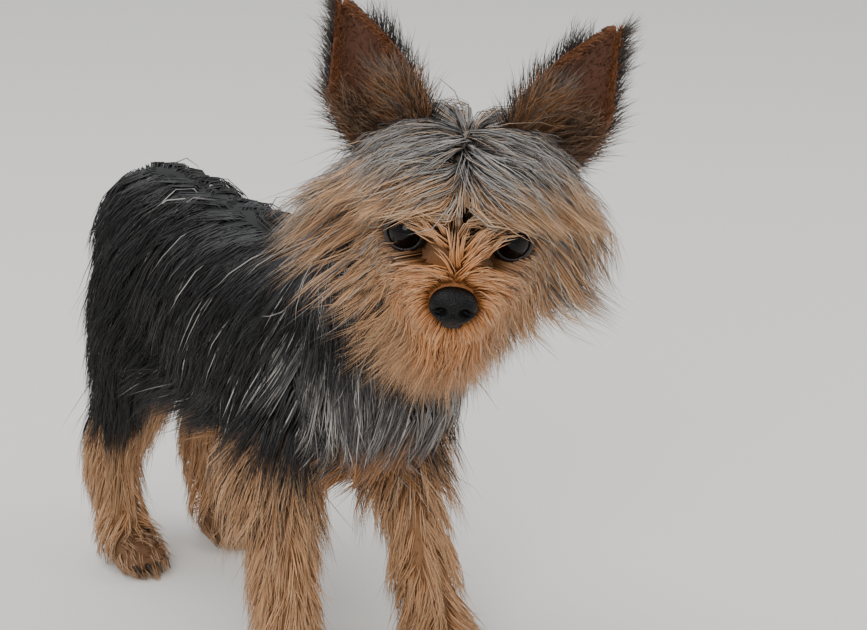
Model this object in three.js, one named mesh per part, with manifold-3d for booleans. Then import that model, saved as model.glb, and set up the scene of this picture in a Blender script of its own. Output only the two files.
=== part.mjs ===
// A Yorkshire terrier standing still, life size, in millimetres. +Z is up, the dog faces -Y,
// and its left side is at +X. The head is turned towards the dog's right.
// Each part of the body is a plain core of flesh with its coat as flat, tapered locks.
import * as THREE from "three";
import { mergeVertices } from "three/addons/utils/BufferGeometryUtils.js";
import Module from "manifold-3d";

const wasm = await Module();
wasm.setup();

// Driving dimensions of the body
const WITHERS = 200; // top of the shoulders above the ground, coat included
const CHEST_Y = -62; // station of the shoulders
const HIP_Y = 82; // station of the hind feet
const FORE_STANCE = 31; // half the distance between the front feet
const HIND_STANCE = 26; // half the distance between the hind feet
const STRIDE = 22; // how far the left front foot stands ahead of the right one
const GAP = 0.45; // free space that neighbouring parts keep
const CENTRE = { x: 1.4, y: -28.3 }; // middle of the standing dog seen from above

// Driving dimensions of the head, in its own frame: +X left, -Y forwards, +Z up
const SKULL = new THREE.Vector3(4, -133, 217);
const HEAD_TURN = THREE.MathUtils.degToRad(-39.5);
const HEAD_DROP = THREE.MathUtils.degToRad(6);
const HEAD_LEAN = THREE.MathUtils.degToRad(5.5);
const EYE = new THREE.Vector3(19, -24.5, 2);
const EYE_RADIUS = 7.6;
const NOSE = new THREE.Vector3(0, -53, -14);
const EAR_HEIGHT = 50;

const headFrame = new THREE.Matrix4().compose(
  SKULL,
  new THREE.Quaternion().setFromEuler(new THREE.Euler(HEAD_DROP, HEAD_LEAN, HEAD_TURN, "ZXY")),
  new THREE.Vector3(1, 1, 1),
);
const bodyFrame = new THREE.Matrix4();

// Seeded draw, so that every build is the same
let seed = 8;
const draw = () => {
  seed = (seed * 1664525 + 1013904223) % 4294967296;
  return seed / 4294967296;
};
const spread = (amount) => (draw() * 2 - 1) * amount;
const mix = THREE.MathUtils.lerp;
const smooth = THREE.MathUtils.smoothstep;

// A closed mesh of rings, one point or more each, joined in order. Rings run anticlockwise
// about the way from first to last.
function rings(list) {
  const points = [];
  const faces = [];
  const starts = list.map((ring) => {
    const first = points.length / 3;
    ring.forEach((p) => points.push(p.x, p.y, p.z));
    return first;
  });
  const cap = (start, n, flip) => {
    for (let i = 1; i < n - 1; i++) {
      faces.push(...(flip ? [start, start + i + 1, start + i] : [start, start + i, start + i + 1]));
    }
  };
  for (let k = 0; k < list.length - 1; k++) {
    const [a, b] = [starts[k], starts[k + 1]];
    const [na, nb] = [list[k].length, list[k + 1].length];
    const n = Math.max(na, nb);
    for (let i = 0; i < n; i++) {
      const j = (i + 1) % n;
      if (na > 1) faces.push(a + i, a + j, nb > 1 ? b + j : b);
      if (nb > 1) faces.push(na > 1 ? a + i : a, b + j, b + i);
    }
  }
  cap(starts[0], list[0].length, true);
  cap(starts.at(-1), list.at(-1).length, false);
  const geometry = new THREE.BufferGeometry();
  geometry.setAttribute("position", new THREE.Float32BufferAttribute(points, 3));
  geometry.setIndex(faces);
  return geometry;
}

function solidOf(geometry) {
  const bare = geometry.clone();
  bare.deleteAttribute("normal");
  bare.deleteAttribute("uv");
  const merged = mergeVertices(bare, 1e-4);
  const mesh = new wasm.Mesh({
    numProp: 3,
    vertProperties: new Float32Array(merged.attributes.position.array),
    triVerts: new Uint32Array(merged.index.array),
  });
  return new wasm.Manifold(mesh);
}

// Cuts leave edges that are too short for 32-bit numbers. Each edge below SHORTEST closes up onto
// one of its ends, where that keeps the surface closed and turns no face over. Two corners that
// still meet move a little apart.
const SHORTEST = 0.12;
function closeShortEdges(points, faces) {
  const around = points.map(() => new Set());
  faces.forEach((face, f) => face.forEach((v) => around[v].add(f)));
  const neighbours = (v) => new Set([...around[v]].flatMap((f) => faces[f]).filter((w) => w !== v));
  const normalOf = (face, from, to) => {
    const [p, q, r] = face.map((v) => points[v === from ? to : v]);
    return new THREE.Vector3().subVectors(q, p).cross(new THREE.Vector3().subVectors(r, p));
  };
  const close = (from, to) => {
    const near = neighbours(to);
    if ([...neighbours(from)].filter((v) => near.has(v)).length !== 2) return false;
    const moved = [...around[from]].filter((f) => !faces[f].includes(to));
    const turned = moved.some((f) => {
      const before = normalOf(faces[f], -1, -1);
      const after = normalOf(faces[f], from, to);
      const flat = before.length() < 0.02;
      return !flat && (before.dot(after) < 0.3 * before.length() * after.length() || after.length() < 1e-3);
    });
    if (turned) return false;
    for (const f of around[from]) {
      if (faces[f].includes(to)) {
        faces[f].forEach((v) => v !== from && around[v].delete(f));
        faces[f] = null;
      } else {
        faces[f] = faces[f].map((v) => (v === from ? to : v));
        around[to].add(f);
      }
    }
    around[from].clear();
    return true;
  };
  for (let pass = 0; pass < 4; pass++) {
    for (let v = 0; v < points.length; v++) {
      for (const w of around[v].size ? neighbours(v) : []) {
        if (points[v].distanceTo(points[w]) < SHORTEST && close(v, w)) break;
      }
    }
  }
  const taken = new Set();
  points.forEach((point, v) => {
    if (!around[v].size) return;
    const key = point.toArray().map((c) => Math.round(c * 1000)).join();
    if (taken.has(key)) {
      const beside = [...neighbours(v)].map((w) => points[w]);
      const middle = beside.reduce((sum, w) => sum.add(w), new THREE.Vector3()).divideScalar(beside.length);
      point.lerp(middle, 0.04);
    }
    taken.add(key);
  });
  return faces.filter((face) => face);
}

function geometryOf(solid) {
  const mesh = solid.getMesh();
  const points = Array.from({ length: mesh.numVert }, (_, i) =>
    new THREE.Vector3().fromArray(mesh.vertProperties, i * mesh.numProp),
  );
  const all = Array.from({ length: mesh.numTri }, (_, i) => Array.from(mesh.triVerts.subarray(3 * i, 3 * i + 3)));
  const faces = closeShortEdges(points, all);
  const used = [...new Set(faces.flat())];
  const place = new Map(used.map((v, i) => [v, i]));
  const geometry = new THREE.BufferGeometry();
  geometry.setFromPoints(used.map((v) => points[v]));
  geometry.setIndex(faces.flat().map((v) => place.get(v)));
  return geometry;
}

// The closed surface that holds most, which drops scraps and fills sealed hollows
function largest(solid) {
  const parts = solid.decompose();
  parts.sort((a, b) => b.volume() - a.volume());
  return parts[0];
}

const joined = (solids) => wasm.Manifold.union(solids);

// A length of flesh: oval sections on a curved line. Each station is a middle with the half width
// across `side` and the half height at right angles to it. The sections all face along `way`, or
// along the line itself where no way is given.
class Limb {
  constructor(stations, { way = null, top = [0, 0, 1], frame = bodyFrame, steps = 24 } = {}) {
    const curve = new THREE.CatmullRomCurve3(
      stations.map(([x, y, z]) => new THREE.Vector3(x, y, z)),
      false,
      "centripetal",
    );
    const last = stations.length - 1;
    const hint = new THREE.Vector3(1, 0, 0);
    const crest = new THREE.Vector3(...top);
    this.sections = [];
    for (let k = 0; k <= steps; k++) {
      const at = (k / steps) * last;
      const i = Math.min(Math.floor(at), last - 1);
      const f = smooth(at - i, 0, 1) * 0.5 + (at - i) * 0.5;
      const middle = curve.getPoint(k / steps);
      const along = way ? new THREE.Vector3(...way).normalize() : curve.getTangent(k / steps);
      const across = hint.clone().addScaledVector(along, -hint.dot(along)).normalize();
      const up = new THREE.Vector3().crossVectors(along, across);
      up.multiplyScalar(Math.sign(up.dot(crest)) || 1);
      this.sections.push({
        middle: middle.applyMatrix4(frame),
        along: along.transformDirection(frame),
        across: across.transformDirection(frame),
        up: up.transformDirection(frame),
        w: mix(stations[i][3], stations[i + 1][3], f),
        h: mix(stations[i][4], stations[i + 1][4], f),
      });
    }
  }

  section(t) {
    return this.sections[Math.round(THREE.MathUtils.clamp(t, 0, 1) * (this.sections.length - 1))];
  }

  // A point of the surface, `grow` outside it, at angle `turn` from the side towards the top
  point(section, turn, grow = 0) {
    return section.middle
      .clone()
      .addScaledVector(section.across, Math.cos(turn) * (section.w + grow))
      .addScaledVector(section.up, Math.sin(turn) * (section.h + grow));
  }

  normal(section, turn) {
    return section.across
      .clone()
      .multiplyScalar(Math.cos(turn) / section.w)
      .addScaledVector(section.up, Math.sin(turn) / section.h)
      .normalize();
  }

  solid(grow, sides, every = 2) {
    const used = this.sections.filter((s, k) => k % every === 0 || k === this.sections.length - 1);
    const first = used[0];
    const last = used.at(-1);
    const hand = Math.sign(new THREE.Vector3().crossVectors(first.across, first.up).dot(first.along));
    const list = used.map((s) =>
      Array.from({ length: sides }, (_, i) => this.point(s, ((hand * i) / sides) * Math.PI * 2, grow)),
    );
    const reach = (s) => 0.45 * Math.min(s.w, s.h) + grow;
    const tail = first.middle.clone().addScaledVector(first.along, -reach(first));
    const tip = last.middle.clone().addScaledVector(last.along, reach(last));
    const geometry = rings([[tail], ...list, [tip]]);
    return solidOf(geometry);
  }

  // Distance from the surface, negative inside
  distance(p) {
    let best = Infinity;
    const d = new THREE.Vector3();
    for (const s of this.sections) {
      d.subVectors(p, s.middle);
      const [a, b, c] = [d.dot(s.across), d.dot(s.up), d.dot(s.along)];
      const q = Math.hypot(a / s.w, b / s.h, c / Math.min(s.w, s.h));
      best = Math.min(best, d.length() * (1 - 1 / Math.max(q, 1e-3)));
    }
    return best;
  }
}

const DOWN = [0, 0, -1];
const FRONT = [0, -1, 0];

// Flesh, as [x, y, z, half width, half height] from end to end
const torso = new Limb([
  [0, CHEST_Y - 42, 150, 9, 11],
  [0, CHEST_Y - 32, 147, 25, 29],
  [0, CHEST_Y - 8, 143, 36, 42],
  [0, CHEST_Y + 24, 141, 38, 44],
  [0, CHEST_Y + 62, 145, 37, 40],
  [0, HIP_Y - 40, 151, 31, 36],
  [0, HIP_Y - 8, 157, 27, 35],
  [0, HIP_Y + 9, 161, 20, 26],
  [0, HIP_Y + 17, 163, 8, 11],
], { steps: 32, way: [0, 1, 0] });

const neck = new Limb([
  [0, CHEST_Y + 10, 152, 22, 24],
  [0, CHEST_Y - 14, 166, 29, 31],
  [1, CHEST_Y - 38, 188, 26, 28],
  [4, SKULL.y + 12, 212, 22, 23],
  [4, SKULL.y + 2, 218, 12, 12],
], { steps: 16, way: [0, -0.7, 0.7] });

const skull = new Limb([
  [0, 35, 2, 8, 9],
  [0, 28, 3, 20, 19],
  [0, 12, 3, 29, 27],
  [0, -6, 2, 30, 28],
  [0, -19, -2, 27, 26],
  [0, -28, -8, 20, 20],
], { frame: headFrame, steps: 20, way: [0, -1, 0] });

const muzzle = new Limb([
  [0, -18, -8, 14, 9],
  [0, -30, -11, 15, 9.5],
  [0, -41, -13, 13.5, 9],
  [0, -48, -14.5, 11, 8],
  [0, -52, -15, 6, 5],
], { frame: headFrame, steps: 12, way: [0, -1, 0] });

const jaw = new Limb([
  [0, -10, -24, 17, 8],
  [0, -28, -26, 12.5, 5.5],
  [0, -40, -26, 9.5, 4.5],
  [0, -47, -25.5, 5, 3],
], { frame: headFrame, steps: 10, way: [0, -1, 0] });

// Every leg is drawn for the left side; `side` is 1 on the left and -1 on the right
function foreLimbs(side) {
  const x = side * FORE_STANCE;
  const step = side > 0 ? -STRIDE : 0;
  return {
    arm: new Limb([
      [x - side * 5, CHEST_Y - 2, 132, 11, 17],
      [x, CHEST_Y + 6, 108, 13, 17],
      [x, CHEST_Y + 8 + step * 0.2, 88, 10.5, 12],
      [x, CHEST_Y + 3 + step * 0.5, 60, 9.5, 10],
      [x, CHEST_Y + step * 0.85, 30, 9, 9.5],
      [x, CHEST_Y - 1 + step, 20, 7, 7],
    ], { steps: 18, way: DOWN, top: FRONT }),
    paw: new Limb([
      [x, CHEST_Y + 6 + step, 12, 7, 7],
      [x, CHEST_Y - 2 + step, 11, 10.5, 10.5],
      [x, CHEST_Y - 14 + step, 9, 11.5, 8.5],
      [x, CHEST_Y - 22 + step, 7.5, 9, 6.5],
    ], { steps: 8, way: [0, -1, 0] }),
  };
}

function hindLimbs(side) {
  const x = side * HIND_STANCE;
  return {
    thigh: new Limb([
      [x - side * 6, HIP_Y - 14, 150, 12, 21],
      [x - side * 1, HIP_Y - 14, 124, 13, 25],
      [x, HIP_Y - 14, 98, 12.5, 20],
      [x, HIP_Y - 2, 76, 10.5, 14],
      [x, HIP_Y + 8, 60, 9, 10.5],
    ], { steps: 16, way: DOWN, top: FRONT }),
    shank: new Limb([
      [x, HIP_Y + 9, 58, 8, 9.5],
      [x, HIP_Y + 13, 44, 9, 11],
      [x, HIP_Y + 7, 28, 8.5, 9],
      [x, HIP_Y + 3, 18, 7, 7],
    ], { steps: 10, way: DOWN, top: FRONT }),
    paw: new Limb([
      [x, HIP_Y + 10, 11, 7, 7],
      [x, HIP_Y + 2, 10.5, 10, 10],
      [x, HIP_Y - 10, 8.5, 11, 8],
      [x, HIP_Y - 17, 7.5, 8.5, 6.5],
    ], { steps: 8, way: [0, -1, 0] }),
  };
}

const tail = new Limb([
  [0, HIP_Y + 4, 182, 6, 7],
  [0, HIP_Y + 18, 174, 7, 8],
  [-1, HIP_Y + 29, 156, 6.5, 6.5],
  [-3, HIP_Y + 34, 136, 5, 5],
  [-5, HIP_Y + 36, 121, 3, 3],
], { steps: 12, top: [0, 1, 0.5] });

const foreLeft = foreLimbs(1);
const foreRight = foreLimbs(-1);
const hindLeft = hindLimbs(1);
const hindRight = hindLimbs(-1);

// The flesh of each node, in order: a later node is cut clear of the earlier ones
const flesh = {
  torso: { limb: torso, sides: 16 },
  head: { limb: skull, sides: 16 },
  muzzle: { limb: muzzle, sides: 12 },
  jaw: { limb: jaw, sides: 10 },
  neck: { limb: neck, sides: 14 },
  foreleg_left: { limb: foreLeft.arm, sides: 10 },
  foreleg_right: { limb: foreRight.arm, sides: 10 },
  thigh_left: { limb: hindLeft.thigh, sides: 10 },
  thigh_right: { limb: hindRight.thigh, sides: 10 },
  shank_left: { limb: hindLeft.shank, sides: 10 },
  shank_right: { limb: hindRight.shank, sides: 10 },
  forepaw_left: { limb: foreLeft.paw, sides: 12 },
  forepaw_right: { limb: foreRight.paw, sides: 12 },
  hindpaw_left: { limb: hindLeft.paw, sides: 12 },
  hindpaw_right: { limb: hindRight.paw, sides: 12 },
  tail: { limb: tail, sides: 8 },
};

const kind = (name) => name.replace(/_(left|right)$/, "");

// A block under the floor, which cuts the soles flat at one level
function underFloor() {
  const block = new THREE.BoxGeometry(400, 600, 60);
  block.translate(0, 0, -30);
  return solidOf(block);
}

// An upright ear: a wide, cupped triangle, open to the front. Its outer edge stands nearly straight
// up and its inner edge slopes away from the crown.
function ear(side, grow = 0) {
  const across = 7;
  const levels = 6;
  const list = [];
  for (let k = 0; k <= levels; k++) {
    const v = (0.93 * k) / levels;
    const rise = EAR_HEIGHT * v;
    const inner = new THREE.Vector3(13 - grow + 39 * Math.pow(v, 1.5), 3 + 6 * v, 28 + rise);
    const spreading = 20 * Math.sin((Math.min(v / 0.45, 1) * Math.PI) / 2);
    const outer = new THREE.Vector3(34 + grow + spreading - 2 * v, 12 - 3 * v, 11 + rise + 17 * v);
    const front = [];
    const back = [];
    for (let i = 0; i <= across; i++) {
      const u = i / across;
      const cup = 13 * Math.sin(Math.PI * u) * Math.pow(1 - v, 0.6);
      const thick = (1.1 + 0.5 * (1 - v)) * Math.sqrt(Math.sin(Math.PI * mix(0.1, 0.9, u))) + 1.5 * grow;
      const p = inner.clone().lerp(outer, u);
      front.push(new THREE.Vector3(side * p.x, p.y + cup - thick, p.z - (k ? 0 : grow)));
      back.push(new THREE.Vector3(side * p.x, p.y + cup + thick, p.z - (k ? 0 : grow)));
    }
    const ring = [...front, ...back.reverse()];
    list.push(side > 0 ? ring : ring.reverse());
  }
  const tip = new THREE.Vector3(side * 52, 9, 28 + EAR_HEIGHT + 1 + grow);
  return solidOf(rings([...list, [tip]]).applyMatrix4(headFrame));
}

function ball(centre, radius, detail = 3) {
  const geometry = new THREE.IcosahedronGeometry(radius, detail);
  geometry.translate(centre.x, centre.y, centre.z);
  geometry.applyMatrix4(headFrame);
  return solidOf(geometry);
}

// The free space in front of an eye
function sightOf(side) {
  const cone = new THREE.CylinderGeometry(EYE_RADIUS * 0.8, 14, 34, 14);
  cone.rotateX(Math.PI / 2);
  cone.translate(side * EYE.x, EYE.y - 17, EYE.z);
  return solidOf(cone.applyMatrix4(headFrame));
}

// The nose leather: a rounded pad with two comma-shaped nostrils and a groove between them
function nose(grow = 0) {
  const pad = new THREE.SphereGeometry(1, 14, 9);
  pad.scale(8.8 + grow, 6.2 + grow, 7.2 + grow);
  pad.translate(NOSE.x, NOSE.y, NOSE.z);
  const whole = solidOf(pad.applyMatrix4(headFrame));
  if (grow) return whole;
  const holes = [1, -1].map((side) => {
    const hole = new THREE.SphereGeometry(1, 8, 6);
    hole.scale(2.1, 3.2, 1.7);
    hole.rotateY(side * 0.5);
    hole.translate(side * 4.2, NOSE.y - 5.2, NOSE.z - 0.6);
    return solidOf(hole.applyMatrix4(headFrame));
  });
  return whole.subtract(joined(holes));
}

// The coat of each kind of node: how deep its dense core is, and its locks in rows from `from` to
// `to` along the flesh and in columns between the angles of `around`, in degrees from the left
// side over the top. Lengths, widths and thicknesses are in millimetres.
const COATS = {
  torso: {
    core: 3,
    zones: [
      { from: 0.12, to: 0.9, rows: 6, around: [-42, 222], columns: 8, length: 54, width: 26, thick: 4.2, lift: 0.35, stand: 3.4 },
      { from: 0.04, to: 0.2, rows: 2, around: [205, 335], columns: 4, length: 48, width: 17, thick: 3.4, lift: 0.3, stand: 2 },
    ],
  },
  neck: {
    core: 3,
    zones: [
      { from: 0.3, to: 0.8, rows: 3, around: [0, 340], columns: 9, length: 44, width: 18, thick: 3.4, lift: 0.3, stand: 1.4 },
    ],
  },
  head: {
    core: 2.5,
    zones: [
      { from: 0.12, to: 0.84, rows: 5, around: [-42, 222], columns: 7, length: 43, width: 15, thick: 2.8, lift: 0.7, stand: 4.5 },
    ],
  },
  muzzle: {
    core: 1.5,
    zones: [
      { from: 0.3, to: 0.8, rows: 2, around: [-35, 215], columns: 7, length: 23, width: 9, thick: 2.2, lift: 0.5, stand: 2.6 },
    ],
  },
  jaw: {
    core: 1,
    zones: [
      { from: 0.3, to: 0.9, rows: 3, around: [190, 350], columns: 4, length: 42, width: 12, thick: 2.6, lift: 0.3, stand: 1.5 },
    ],
  },
  foreleg: {
    core: 2,
    zones: [
      { from: 0.3, to: 0.86, rows: 4, around: [0, 270], columns: 4, length: 29, width: 17, thick: 3, lift: 0.35, stand: 2 },
    ],
  },
  thigh: {
    core: 2,
    zones: [
      { from: 0.25, to: 0.88, rows: 4, around: [0, 288], columns: 5, length: 38, width: 19, thick: 3.2, lift: 0.3, stand: 2 },
    ],
  },
  shank: {
    core: 2,
    zones: [
      { from: 0.2, to: 0.7, rows: 2, around: [0, 270], columns: 4, length: 22, width: 14, thick: 2.6, lift: 0.3, stand: 1.6 },
    ],
  },
  forepaw: { core: 1.5, zones: [] },
  hindpaw: { core: 1.5, zones: [] },
  tail: {
    core: 1.5,
    zones: [
      { from: 0.25, to: 0.9, rows: 3, around: [0, 270], columns: 4, length: 38, width: 12, thick: 2.6, lift: 0.3, stand: 1.5 },
    ],
  },
};

// The way the coat lies on the head, in the head's frame: away from the nose over the face, and
// from a parting over the crown
function combHead(q) {
  const side = q.x < 0 ? -1 : 1;
  const face = new THREE.Vector3(q.x, 0, q.z - NOSE.z - 4).normalize();
  face.y += 0.55;
  face.z -= 0.5;
  const crown = new THREE.Vector3(side * 0.9, -0.3 + 1.2 * smooth(q.y, 2, 22), -0.7);
  return face.lerp(crown, smooth(q.z, 0, 12));
}

function combFor(name) {
  const part = kind(name);
  if (["head", "muzzle", "jaw"].includes(part)) {
    return (p) => combHead(p.clone().applyMatrix4(toHead)).transformDirection(headFrame);
  }
  return (p) => {
    const side = THREE.MathUtils.clamp(p.x / 6, -1, 1);
    if (part === "torso" || part === "neck") {
      const front = smooth(-p.y, -CHEST_Y, 28 - CHEST_Y);
      return new THREE.Vector3(side * mix(0.8, 0.25, front), mix(0.45, -0.1, front), mix(-0.8, -1, front));
    }
    return new THREE.Vector3(0, 0.16, -1);
  };
}

const toHead = headFrame.clone().invert();
const clearance = (p, names) =>
  Math.min(...names.map((name) => flesh[name].limb.distance(p) - COATS[kind(name)].core));

function outward(p, names) {
  const h = 0.5;
  const at = clearance(p, names);
  return new THREE.Vector3(
    clearance(p.clone().setX(p.x + h), names) - at,
    clearance(p.clone().setY(p.y + h), names) - at,
    clearance(p.clone().setZ(p.z + h), names) - at,
  ).normalize();
}

// A flat, tapered lock that follows the lie of the coat over the flesh. Its root is sunk in.
const LOCK_STEPS = 3;
const SUNK = 3.5;
const PROFILE = [0.8, 1, 0.78];
function lockPath(root, normal, { length, lift, stand }, comb, names) {
  const path = [root.clone().addScaledVector(normal, -SUNK)];
  const away = [normal];
  const p = root.clone();
  const sway = spread(0.22);
  for (let k = 1; k <= LOCK_STEPS; k++) {
    const out = outward(p, names);
    const d = comb(p);
    d.addScaledVector(out, -d.dot(out)).normalize();
    d.addScaledVector(new THREE.Vector3().crossVectors(out, d), sway * Math.sin((k / LOCK_STEPS) * Math.PI));
    d.addScaledVector(out, lift * (1.1 - k / LOCK_STEPS)).normalize();
    p.addScaledVector(d, length / LOCK_STEPS);
    const room = clearance(p, names);
    const least = 0.8 + stand * k;
    if (room < least) p.addScaledVector(outward(p, names), least - room);
    path.push(p.clone());
    away.push(outward(p, names));
  }
  return { path, away };
}

function lockSolid({ path, away }, width, thick, grow = 0) {
  const list = [];
  for (let k = 0; k < path.length - 1; k++) {
    const along = path[k + 1].clone().sub(path[Math.max(k - 1, 0)]).normalize();
    const side = new THREE.Vector3().crossVectors(along, away[k]).normalize();
    const up = new THREE.Vector3().crossVectors(side, along);
    const half = (PROFILE[k] * width) / 2 + grow;
    const high = PROFILE[k] * thick * (1 - 0.14 * k) + grow;
    list.push([
      path[k].clone().addScaledVector(side, half).addScaledVector(up, -grow),
      path[k].clone().addScaledVector(up, high),
      path[k].clone().addScaledVector(side, -half).addScaledVector(up, -grow),
    ]);
  }
  const way = path.at(-1).clone().sub(path.at(-2)).normalize();
  list.push([path.at(-1).clone().addScaledVector(way, grow)]);
  const solid = solidOf(rings(list));
  return solid.volume() > 0 ? solid : solidOf(rings(list.map((ring) => ring.slice().reverse())));
}

// Every lock of a node, in staggered rows. A lock whose root another node covers is left out.
function locksOf(name) {
  const { limb } = flesh[name];
  const { core, zones } = COATS[kind(name)];
  const others = Object.keys(flesh).filter((other) => other !== name);
  const everything = Object.keys(flesh);
  const comb = combFor(name);
  const made = [];
  for (const zone of zones) {
    for (let row = 0; row < zone.rows; row++) {
      const t = mix(zone.from, zone.to, row / Math.max(zone.rows - 1, 1));
      const section = limb.section(t);
      for (let column = 0; column < zone.columns; column++) {
        const share = (column + (row % 2) * 0.5 + spread(0.15)) / zone.columns;
        const turn = THREE.MathUtils.degToRad(mix(zone.around[0], zone.around[1], share));
        const root = limb.point(section, turn, core);
        if (clearance(root, others) < 0.5 || root.z < 12) continue;
        const length = Math.min(zone.length * (1 + spread(0.12)), root.z - 4);
        const path = lockPath(root, limb.normal(section, turn), { ...zone, length }, comb, everything);
        made.push({ path, width: zone.width, thick: zone.thick });
      }
    }
  }
  return made;
}

// An eyelid: a rim round the opening that the eye shows through
function lids(side) {
  const rim = new THREE.TorusGeometry(7.2, 1.7, 6, 14);
  rim.scale(1.05, 0.92, 1);
  rim.rotateX(Math.PI / 2);
  rim.rotateZ(side * 0.3);
  rim.translate(side * (EYE.x + 1), EYE.y - 3.2, EYE.z);
  return solidOf(rim.applyMatrix4(headFrame));
}

const joinedCore = (name, grow) => flesh[name].limb.solid(COATS[kind(name)].core + grow, flesh[name].sides);

const floor = underFloor();
const solids = {};
const fixed = {};
for (const side of [1, -1]) {
  const name = side > 0 ? "left" : "right";
  const eye = new THREE.Vector3(side * EYE.x, EYE.y, EYE.z);
  solids[`eye_${name}`] = ball(eye, EYE_RADIUS, 2);
  fixed[`eye_${name}`] = ball(eye, EYE_RADIUS + GAP, 2);
}
solids.nose = nose();
fixed.nose = nose(GAP);
const sight = joined([sightOf(1), sightOf(-1)]);

const cores = {};
const fatCores = { ...fixed };
for (const name of Object.keys(flesh)) {
  let core = joinedCore(name, 0);
  if (name === "head") core = joined([core, lids(1), lids(-1)]);
  for (const other of Object.values(fatCores)) core = core.subtract(other);
  cores[name] = largest(core.subtract(floor));
  fatCores[name] = joinedCore(name, 2 * GAP);
}
for (const side of [1, -1]) {
  const name = `ear_${side > 0 ? "left" : "right"}`;
  let leather = ear(side);
  for (const other of [...Object.values(fatCores), cores.head]) leather = leather.subtract(other);
  solids[name] = largest(leather);
  fatCores[name] = ear(side, 4 * GAP);
}

// Locks on top come first, and the later ones are cut clear of them
const LAYERS = [
  "muzzle", "jaw", "head", "neck", "torso", "tail", "thigh_left", "thigh_right", "shank_left", "shank_right",
  "foreleg_left", "foreleg_right", "forepaw_left", "forepaw_right", "hindpaw_left", "hindpaw_right",
];
const earlier = [];
for (const name of LAYERS) {
  const locks = locksOf(name);
  let whole = cores[name];
  if (locks.length) {
    let coat = joined(locks.map((l) => lockSolid(l.path, l.width, l.thick))).subtract(floor).subtract(sight);
    for (const [other, fat] of Object.entries(fatCores)) if (other !== name) coat = coat.subtract(fat);
    for (const other of [...earlier, solids.ear_left, solids.ear_right]) coat = coat.subtract(other);
    earlier.push(joined(locks.map((l) => lockSolid(l.path, l.width, l.thick, GAP))));
    whole = joined([whole, coat]);
  }
  solids[name] = largest(solidOf(geometryOf(largest(whole))));
  earlier.push(solids[name]);
}

const COLOURS = { torso: 0x17130f, neck: 0x4a4340, tail: 0x17130f, eye: 0x080606, nose: 0x121010, ear: 0x5a3a22 };
const TAN = 0x9a6a3c;
const dog = new THREE.Group();
dog.position.set(-CENTRE.x, -CENTRE.y, 0);
for (const [name, solid] of Object.entries(solids)) {
  const material = new THREE.MeshStandardMaterial({ color: COLOURS[kind(name)] ?? TAN, roughness: 0.8, metalness: 0 });
  const mesh = new THREE.Mesh(geometryOf(solid), material);
  mesh.name = name;
  dog.add(mesh);
}
export default dog;
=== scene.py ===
# Looks of the Yorkshire terrier: a skin under a coat of fine tufts, eyes, lids, nose and claws.
# Forms are worked out in millimetres in the body's own frame and written in metres.
import math

import bmesh
import bpy
import numpy as np
from mathutils import Matrix, Vector


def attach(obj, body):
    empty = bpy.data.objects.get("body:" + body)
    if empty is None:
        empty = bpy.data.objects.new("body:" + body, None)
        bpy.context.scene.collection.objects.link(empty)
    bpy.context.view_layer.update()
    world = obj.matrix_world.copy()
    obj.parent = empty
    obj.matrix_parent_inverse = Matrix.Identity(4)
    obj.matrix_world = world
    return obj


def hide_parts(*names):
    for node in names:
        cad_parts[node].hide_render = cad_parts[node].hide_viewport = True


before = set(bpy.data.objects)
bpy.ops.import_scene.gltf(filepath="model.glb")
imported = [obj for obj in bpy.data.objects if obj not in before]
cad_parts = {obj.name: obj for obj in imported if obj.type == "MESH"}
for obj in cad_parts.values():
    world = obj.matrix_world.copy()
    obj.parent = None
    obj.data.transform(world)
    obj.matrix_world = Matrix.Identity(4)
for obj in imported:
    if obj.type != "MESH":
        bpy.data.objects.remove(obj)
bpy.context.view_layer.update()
SEED = 11
rng = np.random.default_rng(SEED)
SIDES = {1: "left", -1: "right"}

# Driving dimensions, as in the solids
CHEST_Y = -62
HIP_Y = 82
FORE_STANCE = 31
HIND_STANCE = 26
STRIDE = 22
CENTRE = np.array([1.4, -28.3, 0])
SKULL = np.array([4.0, -133.0, 217.0])
HEAD_TURN = math.radians(-39.5)
HEAD_DROP = math.radians(6)
HEAD_LEAN = math.radians(5.5)
EYE = np.array([19, -24.5, 2])
EYE_RADIUS = 7.6
NOSE = np.array([0, -53, -14])
EAR_HEIGHT = 50

# The camera: where the middle between the eyes lies in the picture
VIEW_AZIMUTH = math.radians(38)
VIEW_DROP = math.radians(19)
EYE_DEPTH = 0.747
EYE_RIGHT = 0.0093
EYE_UP = 0.0296


def turn_about(axis, angle):
    return np.array(Matrix.Rotation(angle, 3, axis))


HEAD_ROTATION = turn_about("Z", HEAD_TURN) @ turn_about("X", HEAD_DROP) @ turn_about("Y", HEAD_LEAN)


def from_head(q):
    return np.asarray(q, float) @ HEAD_ROTATION.T + SKULL


def to_head(p):
    return (np.asarray(p, float) - SKULL) @ HEAD_ROTATION


def metres(p):
    return (np.asarray(p, float) - CENTRE) / 1000


def smooth(x, low, high):
    t = np.clip((np.asarray(x, float) - low) / (high - low), 0, 1)
    return t * t * (3 - 2 * t)


def unit(v):
    return v / np.maximum(np.linalg.norm(v, axis=-1, keepdims=True), 1e-9)


def linear(colour):
    c = np.asarray(colour, float) / 255
    return np.where(c <= 0.04045, c / 12.92, ((c + 0.055) / 1.055) ** 2.4)


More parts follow.
